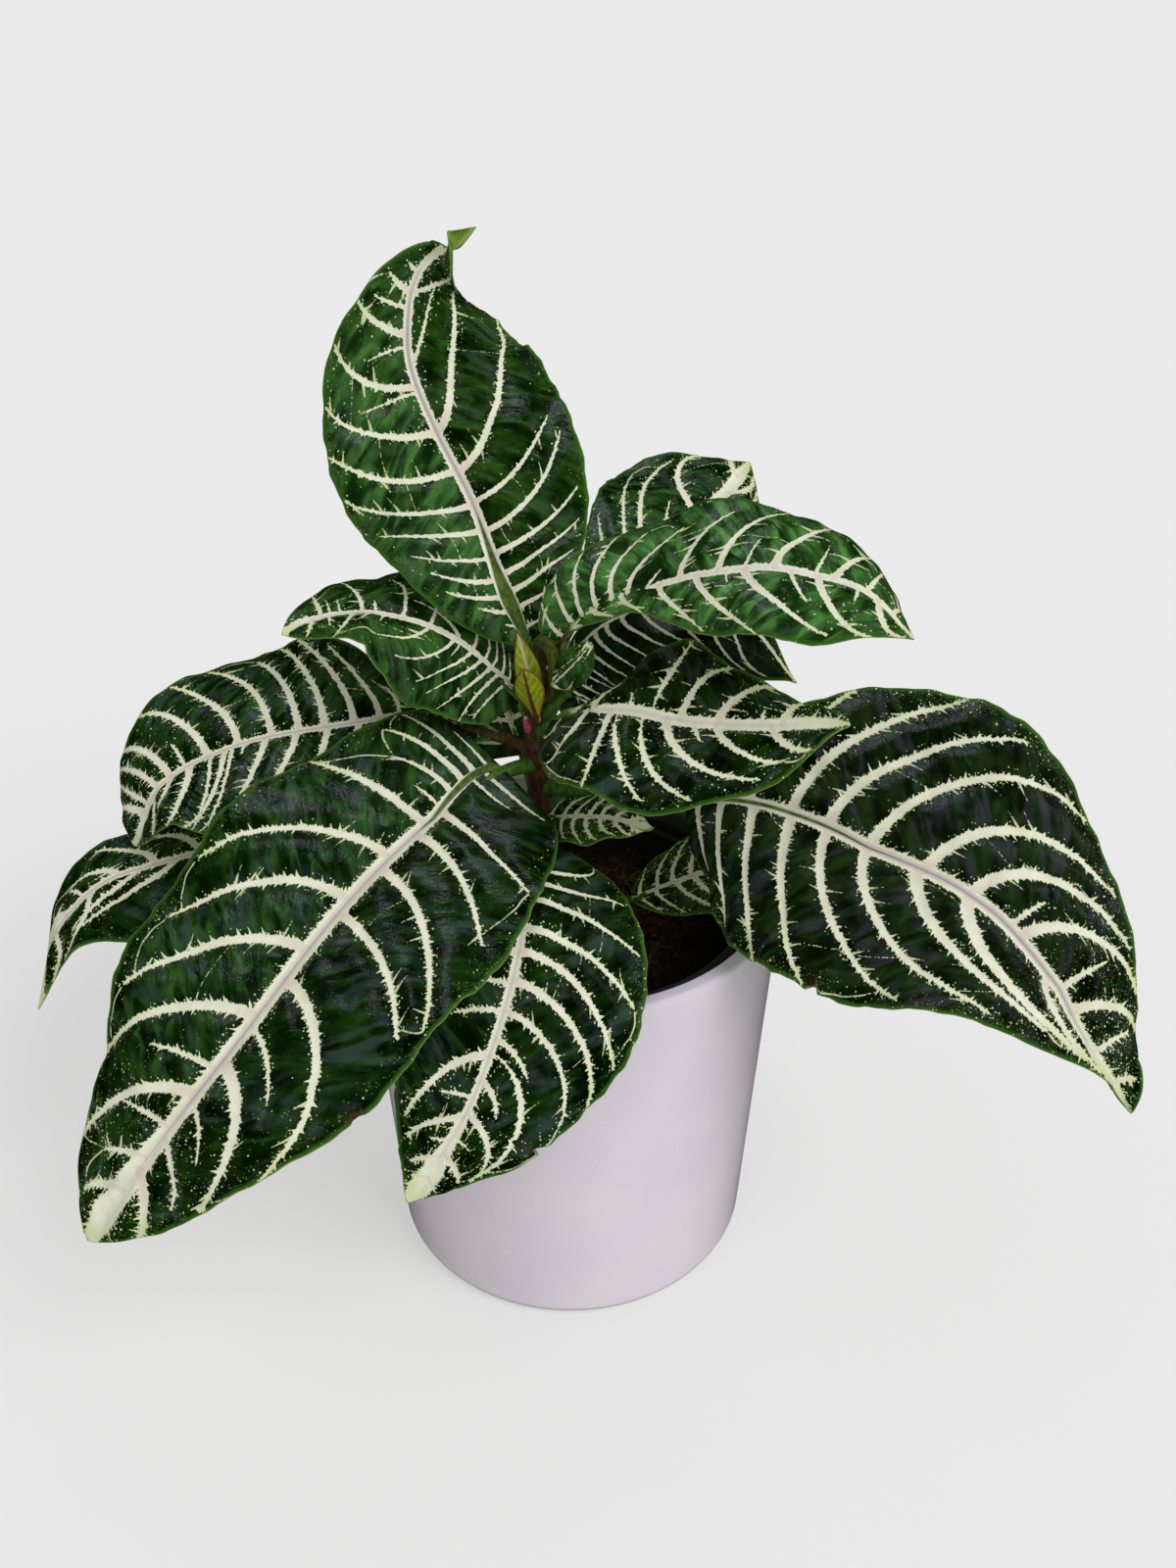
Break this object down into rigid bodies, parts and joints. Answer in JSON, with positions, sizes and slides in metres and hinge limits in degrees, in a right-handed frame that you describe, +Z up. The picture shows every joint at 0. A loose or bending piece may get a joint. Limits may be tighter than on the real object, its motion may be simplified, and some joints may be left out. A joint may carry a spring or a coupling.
{
  "type": "potted aphelandra plant",
  "caption": "Zebra plant with broad dark green leaves and cream veins, rooted in a plastic nursery pot that stands in a tapered glazed ceramic cover pot.",
  "frame": {"origin": "centre of the cover pot's flat base, on the surface that it stands on", "axes": "+Z up along the pot's axis; +Y from the front, where the large leaf hangs over the rim, to the back; +X to the right seen from the front"},
  "size_m": [0.3409, 0.2462, 0.3342],
  "materials": {
    "glaze": "glossy lavender-white glaze",
    "nursery_plastic": "black, slightly glossy",
    "soil": "rough reddish-brown coir fibre and peat",
    "stem": "smooth brown-red bark",
    "leaf": "glossy dark green with ivory vein bands",
    "young_leaf": "lime green with pale veins",
    "bud": "pink with a cream tip"
  },
  "bodies": {
    "root": {"cover_pot": "glaze", "nursery_pot": "nursery_plastic", "soil": "soil", "stem": "stem", "leaf_top": "leaf", "leaf_right_upper": "leaf", "leaf_right_inner": "leaf", "leaf_right_mid": "leaf", "leaf_back_right": "leaf", "leaf_right_low": "leaf", "leaf_front_left": "leaf", "leaf_front": "leaf", "leaf_left_mid": "leaf", "leaf_left_low": "leaf", "leaf_left_upper": "leaf", "leaf_back_left": "leaf", "leaf_back_low_left": "leaf", "leaf_back_low_right": "leaf", "leaf_inner_small": "leaf", "leaf_inner_low": "leaf", "young_leaf_back": "young_leaf", "young_leaf_front": "young_leaf", "bud": "bud"}
  },
  "joints": []
}
